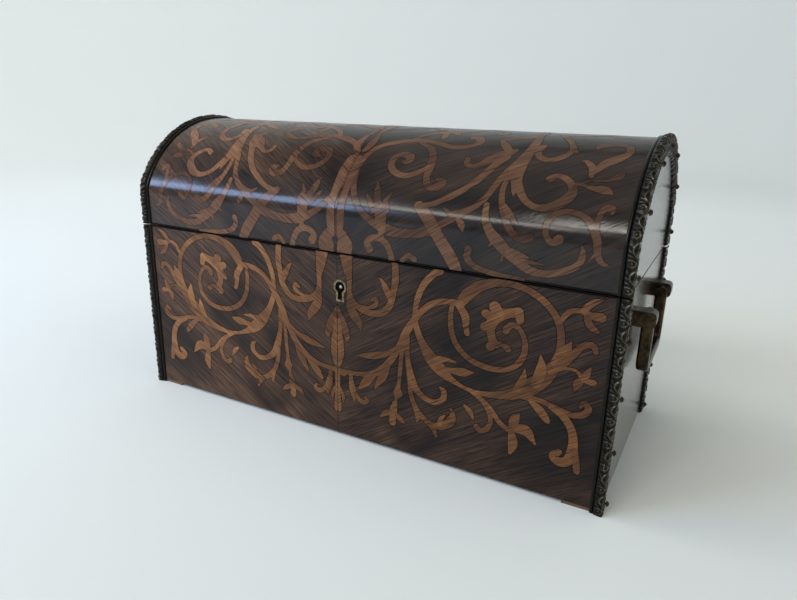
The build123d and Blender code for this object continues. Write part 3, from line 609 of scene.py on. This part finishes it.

# Sizes in millimetres: places across a band as shares of its half-width, the last two on its underside; the
# sheets' edges; lifts and steps of inlay and kerf; the kerfs' widths; the joint's line of wear and painted
# shade
BAND_ACROSS = np.array([-1, -0.67, -0.33, 0, 0.33, 0.67, 1, 1, -1])
UNDERSIDE = 2
PANEL_EDGE = 144.8
LOW_MARGIN = 0.4
JOINT_MARGIN = 0.15
INLAY_LIFT = 0.04
INLAY_STEP = 0.0004
KERF_LIFT = 0.015
KERF_STEP = 0.0001
SUNK = 0.05
FRONT_KERF = 0.33
LID_KERF = 0.22
WORN_SHADED_EDGE = 0.15
EDGE_INSET = 0.4

# Making of a band: its least half-width, the length between stations and how many more the ends take, how far
# stations crowd to the ends, the reach of the direction, and the step of tone from piece to piece
THINNEST = 0.15
SPAN_STEPS = 12
STATION_STEP = 0.6
END_STATIONS = 18
CROWDING = 0.85
WAY_REACH = 0.3
NEAR_TIP = 0.999
TONE_STEP = 0.618


def both_halves(strokes, axis):
    """The strokes about an axis and their mirror images."""
    right = [np.array(stroke, float) + (axis, 0, 0) for stroke in strokes]
    return right + [np.array(stroke, float) * (-1, 1, 1) + (axis, 0, 0) for stroke in strokes]


def over_crown(strokes):
    """The strokes mirrored about the crown, on the back half of the dome."""
    return [stroke * (1, -1, 1) + (0, 2 * (case_height + arch_half), 0) for stroke in strokes]


def smooth_line(stroke):
    """Catmull-Rom curve through a stroke's points."""
    p = np.vstack([2 * stroke[0] - stroke[1], stroke, 2 * stroke[-1] - stroke[-2]])
    u = np.linspace(0, 1, SPAN_STEPS, endpoint=False)[None, :, None]
    a, b, c, d = p[:-3, None], p[1:-2, None], p[2:-1, None], p[3:, None]
    curve = 2 * b + (c - a) * u + (2 * a - 5 * b + 4 * c - d) * u ** 2 + (3 * b - a - 3 * c + d) * u ** 3
    return np.vstack([curve.reshape(-1, 3) / 2, stroke[-1]])


def band(stroke, grow):
    """A stroke as rows of points on the sheet: its curve, crossed by its half-width, which rounds off to
    nothing past each end; stations crowd towards the ends."""
    line = smooth_line(stroke)
    arc = np.concatenate([[0], np.cumsum(np.hypot(*np.diff(line[:, :2], axis=0).T))])
    half = np.maximum(line[:, 2], THINNEST) + grow
    tip, tail, length = half[0], half[-1], arc[-1]

    def on_line(run):
        """Points of the curve at runs along it."""
        return np.column_stack([np.interp(run, arc, line[:, axis]) for axis in (0, 1)])

    u = np.linspace(0, 1, int(length / STATION_STEP) + END_STATIONS)
    place = -tip + (length + tip + tail) * (u - CROWDING * np.sin(2 * np.pi * u) / (2 * np.pi))
    held = np.clip(place, 0, length)
    way = on_line(np.clip(held + WAY_REACH, 0, length)) - on_line(np.clip(held - WAY_REACH, 0, length))
    way /= np.linalg.norm(way, axis=1)[:, None]
    centre = on_line(held) + way * (place - held)[:, None]
    width = np.interp(held, arc, half)
    width *= np.sqrt(1 - np.clip(-place / tip, 0, NEAR_TIP) ** 2)
    width *= np.sqrt(1 - np.clip((place - length) / tail, 0, NEAR_TIP) ** 2)
    normal = np.column_stack([-way[:, 1], way[:, 0]])
    return centre[:, None] + normal[:, None] * (width[:, None] * BAND_ACROSS)[..., None]


def marquetry(name, strokes, sheet_place, span, grow, lift, step, finish, body):
    """All strokes of a sheet as thin closed bands, laid on it one hair above another and cut at its edges."""
    points, lengths, tones, faces, first = [], [], [], [], 0
    ring = len(BAND_ACROSS)
    on_top = np.arange(ring) < ring - UNDERSIDE
    for number, stroke in enumerate(strokes):
        rows = band(stroke, grow)
        x = np.clip(rows[..., 0], -PANEL_EDGE, PANEL_EDGE)
        up = np.clip(rows[..., 1], *span)
        raised = np.where(on_top, lift + number * step, -SUNK) * np.ones((len(rows), 1))
        points.append(sheet_place(x, up, raised).reshape(-1, 3))
        lengths.append(np.stack([x, up], -1).reshape(-1, 2))
        tones.append(np.full(x.size, number * TONE_STEP % 1.0))
        faces += tube_faces(len(rows), ring, first)
        first += x.size
    piece = mesh_piece(name, np.vstack(points), faces, finish, body, np.vstack(lengths))
    tone = piece.data.attributes.new("tone", "FLOAT", "POINT")
    tone.data.foreach_set("value", np.concatenate(tones).astype(np.float32))


def inlaid_sheet(name, strokes, edge_line, sheet_place, span, kerf, finish, body):
    """The marquetry of a sheet: dark saw kerfs and the joint's line of wear and painted shade, and the inlay
    on them.
    """
    marquetry(f"{name}_kerf", strokes + edge_line, sheet_place, span, kerf, KERF_LIFT, KERF_STEP, kerf_dark,
              body)
    marquetry(f"{name}_inlay", strokes, sheet_place, span, 0, INLAY_LIFT, INLAY_STEP, finish, body)


front_strokes = (both_halves(FRONT_SCROLLS, 0) + both_halves(FRONT_UPPER, FRONT_UPPER_AXIS)
                 + both_halves(FRONT_LOWER, FRONT_LOWER_AXIS))
lid_strokes = both_halves(LID_SCROLLS, 0) + both_halves(LID_CENTRE, LID_CENTRE_AXIS)
# The dark line along the joint stands for wear and for the painted shade of the gap between case and lid.
worn_shaded_line = np.array([(x, case_height, WORN_SHADED_EDGE) for x in (-PANEL_EDGE, 0, PANEL_EDGE)])
front_line = [worn_shaded_line - (0, EDGE_INSET, 0)]
lid_line = [worn_shaded_line + (0, EDGE_INSET, 0)]
front_span = (LOW_MARGIN, case_height - JOINT_MARGIN)
lid_span = (case_height + JOINT_MARGIN, case_height + 2 * arch_half - JOINT_MARGIN)
inlaid_sheet("front", front_strokes, front_line, front_sheet, front_span, FRONT_KERF, front_inlay_wood,
             "case")
inlaid_sheet("lid_front", lid_strokes, lid_line, lid_sheet, lid_span, LID_KERF, lid_inlay_wood, "lid")
inlaid_sheet("lid_back", over_crown(lid_strokes), over_crown(lid_line), lid_sheet, lid_span, LID_KERF,
             lid_inlay_wood, "lid")

# Cast edge mounts, in millimetres: the laps on the veneer and on the end, the mitre at the hinge, the
# stations along the case and the lid, and the gap underneath

MOUNT_LAP = 4.5
MOUNT_END_LAP = 7.0
MITRE_TAN = math.tan(math.radians(52))
CASE_STATIONS = 420
LID_STATIONS = 780
UNDER_GAP = 0.02

# Section: the round rim on the veneer, the swelling corner and the face on the end, which thins to its edge
RIM_MIDDLE, RIM_HALF, RIM_FOOT, RIM_RISE, RIM_STEPS = 3.7, 0.8, 0.35, 0.65, 11
CORNER_START, CORNER_SPAN, CORNER_FOOT, CORNER_RISE, CORNER_STEPS = 2.8, 4.2, 0.6, 1.05, 22
CORNER_TOP, CORNER_FALL, CORNER_MIDDLE = 1.65, 0.9, 14
END_OUT, END_START, END_STOP, END_STEPS = 1.55, 0.3, 0.4, 20
THIN_BY, THIN_START, THIN_RUN = 0.9, 4.5, 2.1
RELIEF_STEPS, RELIEF_EDGE, RELIEF_LEAST = 4, 1.5, 0.3

# Relief: its height, the pitches of scroll and leaves, the waving stem, the curl and its bead, and the edge
RELIEF = 0.75
SCROLL_PITCH = 12.0
LEAF_PITCH = 2.4
STEM_MIDDLE, STEM_SWING, STEM_HALF = 0.6, 1.7, 0.45
CURL_OFF, CURL_RADIUS, CURL_HALF, BEAD_RADIUS = 1.5, 1.45, 0.42, 0.55
LEAF_HEIGHT, LEAF_CLEAR = 0.55, 0.9
SCALLOP = 0.10
RIM_SHEEN = 0.3


def mount_section():
    """Section of a mount, from the smooth rim on the veneer over the rounded, carved corner to the edge on
    the end and back underneath: inward and outward place, normal, share of the relief, and width round the
    section from the corner."""
    turn = np.linspace(0, math.pi, RIM_STEPS)
    rim = np.column_stack([RIM_MIDDLE + RIM_HALF * np.cos(turn), RIM_FOOT + RIM_RISE * np.sin(turn)])
    swell = np.linspace(0, math.pi / 2, CORNER_STEPS)
    bent = swell * 2 / math.pi
    corner = np.column_stack([CORNER_START - CORNER_SPAN * np.sin(swell) ** 1.2,
                              CORNER_FOOT + CORNER_RISE * np.sin(2 * swell) ** 0.7])
    fall = np.where(bent > 0.5, CORNER_TOP - CORNER_FALL * (2 * bent - 1) ** 2, 0)
    corner[:, 1] = np.maximum(corner[:, 1], fall)
    lean = np.column_stack([-bent ** 2, 1 - 0.5 * bent ** 2])
    lean /= np.linalg.norm(lean, axis=1)[:, None]
    down = np.linspace(END_START, -MOUNT_END_LAP + END_STOP, END_STEPS)
    end = np.column_stack([-END_OUT + THIN_BY * np.clip((-down - THIN_START) / THIN_RUN, 0, 1) ** 2, down])
    end_out = np.tile([-1.0, 0.0], (END_STEPS, 1))
    under = np.array([[-0.3, -MOUNT_END_LAP], [-UNDER_GAP, -MOUNT_END_LAP], [-UNDER_GAP, -3.5],
                      [-UNDER_GAP, UNDER_GAP], [2.2, UNDER_GAP], [MOUNT_LAP, UNDER_GAP]])
    place = np.vstack([rim, corner, end, under])
    out = np.vstack([np.zeros_like(rim), lean, end_out, np.zeros_like(under)])
    share = np.concatenate([np.zeros(len(rim)), np.clip(np.arange(CORNER_STEPS) / RELIEF_STEPS, 0, 1),
                            np.clip((down + MOUNT_END_LAP) / RELIEF_EDGE, RELIEF_LEAST, 1),
                            np.zeros(len(under))])
    step = np.concatenate([[0], np.cumsum(np.linalg.norm(np.diff(place, axis=0), axis=1))])
    return place, out, share, step - step[RIM_STEPS + CORNER_MIDDLE]


def leaf_relief(along, width):
    """Height from 0 to 1 of running foliage: a stem that waves along the strip, fine leaf ribs that sweep
    away from it on both sides, and an open curl with a bead in every bend."""
    off = width - STEM_MIDDLE
    away = off - STEM_SWING * np.sin(2 * np.pi * along / SCROLL_PITCH)
    stem = np.exp(-(away / STEM_HALF) ** 2)
    rib = 0.5 + 0.5 * np.cos(2 * np.pi * (along / LEAF_PITCH - 0.30 * np.abs(away) + 0.03 * away ** 2))
    bend = np.round(along / SCROLL_PITCH * 2 - 0.5) + 0.5
    a = along - bend * SCROLL_PITCH / 2
    b = off + np.where(bend % 2 == 0.5, CURL_OFF, -CURL_OFF)
    distance = np.hypot(a, b)
    curl = np.exp(-((distance - CURL_RADIUS) / CURL_HALF) ** 2) * (0.75 + 0.25 * np.sin(np.arctan2(b, a)))
    bead = np.exp(-(distance / BEAD_RADIUS) ** 2)
    leaves = LEAF_HEIGHT * rib ** 1.6 * np.clip((distance - LEAF_CLEAR) / LEAF_CLEAR, 0, 1)
    return np.clip(np.maximum(np.maximum(stem, leaves), np.maximum(curl, bead)), 0, 1)


def cast_mount(name, side, body, stations, start, finish_at, sheet_place):
    """A mount: its section carried along a run between two ends, raised by the scroll relief, with its edge
    on the end scalloped."""
    place, out, share, width = mount_section()
    first = start(place[:, 1] + RELIEF * share)
    last = finish_at(place[:, 1] + RELIEF * share)
    along = first + (last - first) * np.linspace(0, 1, stations)[:, None]
    relief = leaf_relief(along, width[None, :]) * share
    moved = place[None] + out[None] * (RELIEF * relief)[..., None]
    scallop = 1 + SCALLOP * np.abs(np.cos(np.pi * along / SCROLL_PITCH * 2))
    lap = np.where(moved[..., 1] < 0, moved[..., 1] * scallop, moved[..., 1])
    points = sheet_place(side * (half_length - moved[..., 0]), along, lap).reshape(-1, 3)
    piece = mesh_piece(f"cast_{name}", points, tube_faces(stations, len(place)), mount_brass, body,
                       crease=55)
    height = piece.data.attributes.new("relief", "FLOAT", "POINT")
    smooth_rim = np.where((share == 0) & (place[:, 1] >= RIM_FOOT), RIM_SHEEN, 0.0)
    height.data.foreach_set("value", (relief + smooth_rim).astype(np.float32).ravel())
    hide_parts(name)


def case_edge(face):
    """Places a mount on the front or back edge of the case: the run is the height, the lap goes outward."""
    return lambda x, along, lap: np.stack([x, face * (half_depth + lap), along], -1)


def lid_edge(x, along, lap):
    """Places a mount round the arch of the lid: the run is the arc, the lap goes outward."""
    y, z = dome_place(along, lap)
    return np.stack([x, y, z], -1)


def level(height):
    """An end at the same height all over the section."""
    return lambda lap: np.full(len(lap), height)


def case_mitre(lap):
    """The back mount's upper end, sloped down outside the hinge's axis so that the lid can turn."""
    return np.minimum(case_top, joint_z - (half_depth + lap - hinge_y) * MITRE_TAN)


def lid_mitre(lap):
    """The lid mount's back end, sloped up outside the hinge's axis."""
    return 2 * arch_half - np.maximum(0, joint_z + (half_depth + lap - hinge_y) * MITRE_TAN - lid_low)


for side_name, side in (("left", -1), ("right", 1)):
    cast_mount(f"case_mount_front_{side_name}", side, "case", CASE_STATIONS, level(mount_low),
               level(case_top), case_edge(-1))
    cast_mount(f"case_mount_back_{side_name}", side, "case", CASE_STATIONS, level(mount_low), case_mitre,
               case_edge(1))
    cast_mount(f"lid_mount_{side_name}", side, "lid", LID_STATIONS, level(0.0), lid_mitre, lid_edge)

# Floor, in millimetres: the closed middle, the flat run, the radius of the bend and the top of the wall

STAGE_MIDDLE = 100
STAGE_FLAT = 1500
STAGE_BEND = 1000
STAGE_TOP = 3000
STAGE_SIDES = 96
FLAT_STEPS = 8
BEND_STEPS = 24


def pale_paper():
    """Matt pale paper with painted shade: a little greyer just in front of the casket than far from it."""
    finish, tree, shader = new_finish("pale_paper", Roughness=0.9)
    axes = apart(tree, object_coords(tree))
    back = weighted(tree, (axes["Y"], 1.0), (axes["X"], -0.35))
    away = computed(tree, "ABSOLUTE", computed(tree, "MULTIPLY_ADD", back, 0.6, 0.13))
    colour = ramp(tree, computed(tree, "ADD", away, 0.22),
                  [(0.1, (0.61, 0.63, 0.59)), (0.9, (0.86, 0.89, 0.875))])
    tree.links.new(colour, shader.inputs["Base Color"])
    return finish


def pale_stage():
    """A pale round floor that turns up into a wall all round: a flat run, a quarter round and an upright,
    turned about the middle, with the middle closed by a fan."""
    turn = np.linspace(0, math.pi / 2, BEND_STEPS)[1:]
    radius = np.concatenate([np.linspace(STAGE_MIDDLE, STAGE_FLAT, FLAT_STEPS),
                             STAGE_FLAT + STAGE_BEND * np.sin(turn), [STAGE_FLAT + STAGE_BEND]])
    height = np.concatenate([np.zeros(FLAT_STEPS), STAGE_BEND - STAGE_BEND * np.cos(turn), [STAGE_TOP]])
    angle = np.linspace(0, 2 * math.pi, STAGE_SIDES, endpoint=False)
    ring = np.stack([np.outer(radius, np.cos(angle)), np.outer(radius, np.sin(angle)),
                     np.outer(height, np.ones(STAGE_SIDES))], -1)
    points = np.vstack([ring.reshape(-1, 3), [[0, 0, 0]]])
    i, j = np.meshgrid(np.arange(len(radius) - 1), np.arange(STAGE_SIDES), indexing="ij")
    k = (j + 1) % STAGE_SIDES
    inner, outer = i * STAGE_SIDES, (i + 1) * STAGE_SIDES
    quads = np.stack([inner + j, outer + j, outer + k, inner + k], -1).reshape(-1, 4)
    fan = np.column_stack([np.full(STAGE_SIDES, len(points) - 1), j[0], k[0]])
    mesh = bpy.data.meshes.new("floor")
    mesh.from_pydata((points * MM).tolist(), [], quads.tolist() + fan.tolist())
    mesh.polygons.foreach_set("use_smooth", np.ones(len(mesh.polygons), bool))
    mesh.materials.append(pale_paper())
    floor = bpy.data.objects.new("floor", mesh)
    scene.collection.objects.link(floor)


pale_stage()

# Light: places in metres, power in watts

CASKET = (0, 0, 0.12)
WARM = (1.0, 0.95, 0.88)


def soft_light(name, place, aim, width, height, power, colour, mirrored=True):
    """A soft rectangular lamp at a place, turned towards a point; mirrored says whether polish shows it."""
    lamp = bpy.data.lights.new(name, "AREA")
    lamp.shape = "RECTANGLE"
    lamp.size, lamp.size_y = width, height
    lamp.energy = power
    lamp.color = colour
    holder = bpy.data.objects.new(name, lamp)
    holder.location = place
    holder.rotation_euler = (Vector(aim) - Vector(place)).to_track_quat("-Z", "Y").to_euler()
    holder.visible_glossy = mirrored
    scene.collection.objects.link(holder)


def room_light(strength):
    """Even light from all round, paler at the horizon than overhead."""
    room = bpy.data.worlds.new("room")
    room.use_nodes = True
    tree = room.node_tree
    direction = shader_node(tree, "ShaderNodeTexCoord").outputs["Generated"]
    colour = ramp(tree, apart(tree, direction)["Z"],
                  [(0.0, (0.84, 0.88, 0.88)), (0.35, (0.55, 0.57, 0.57)), (0.8, (0.22, 0.23, 0.23))])
    background = tree.nodes["Background"]
    tree.links.new(colour, background.inputs["Color"])
    background.inputs["Strength"].default_value = strength
    scene.world = room


soft_light("sky_window", (-0.82, -0.78, 0.57), CASKET, 0.62, 0.30, 8.5, (0.44, 0.62, 1.0))
soft_light("white_window", (-0.42, -0.88, 0.84), CASKET, 0.64, 0.20, 4.0, WARM)
soft_light("high_window", (0.0, -0.78, 0.93), CASKET, 0.34, 0.12, 2.4, WARM)
soft_light("ceiling", (0.0, 0.1, 2.2), (0, 0.1, 0), 2.4, 2.4, 8.0, (1.0, 0.98, 0.94))
soft_light("backdrop_wash", (-1.2, -0.2, 1.8), (-1.3, 1.8, 0.7), 1.2, 1.2, 19.0, (0.98, 0.99, 1.0), False)
soft_light("right_fill", (1.3, 0.1, 1.1), (0.2, 0, 0), 1.2, 1.2, 4.5, (1.0, 0.98, 0.95), False)
room_light(0.62)

# Camera, solved from the edges of the box in the photograph: millimetres, radians and pixels

EYE = Vector((185.55, -342.50, 189.85)) * MM
TARGET = Vector((36.48, -64.87, 90.17)) * MM
ROLL = -0.02307
FOCAL_PIXELS = 630.75
PHOTO_WIDTH = 797
SENSOR_WIDTH = 36.0

ahead = (TARGET - EYE).normalized()
level_right = ahead.cross(Vector((0, 0, 1))).normalized()
level_down = ahead.cross(level_right)
right = math.cos(ROLL) * level_right + math.sin(ROLL) * level_down
down = math.cos(ROLL) * level_down - math.sin(ROLL) * level_right
camera = bpy.data.cameras.new("camera")
camera.sensor_fit = "HORIZONTAL"
camera.sensor_width = SENSOR_WIDTH
camera.lens = FOCAL_PIXELS * SENSOR_WIDTH / PHOTO_WIDTH
camera.clip_start, camera.clip_end = 0.01, 50.0
camera_holder = bpy.data.objects.new("camera", camera)
camera_holder.matrix_world = (Matrix.Translation(EYE)
                              @ Matrix((right, -down, -ahead)).transposed().to_4x4())
scene.collection.objects.link(camera_holder)
scene.camera = camera_holder
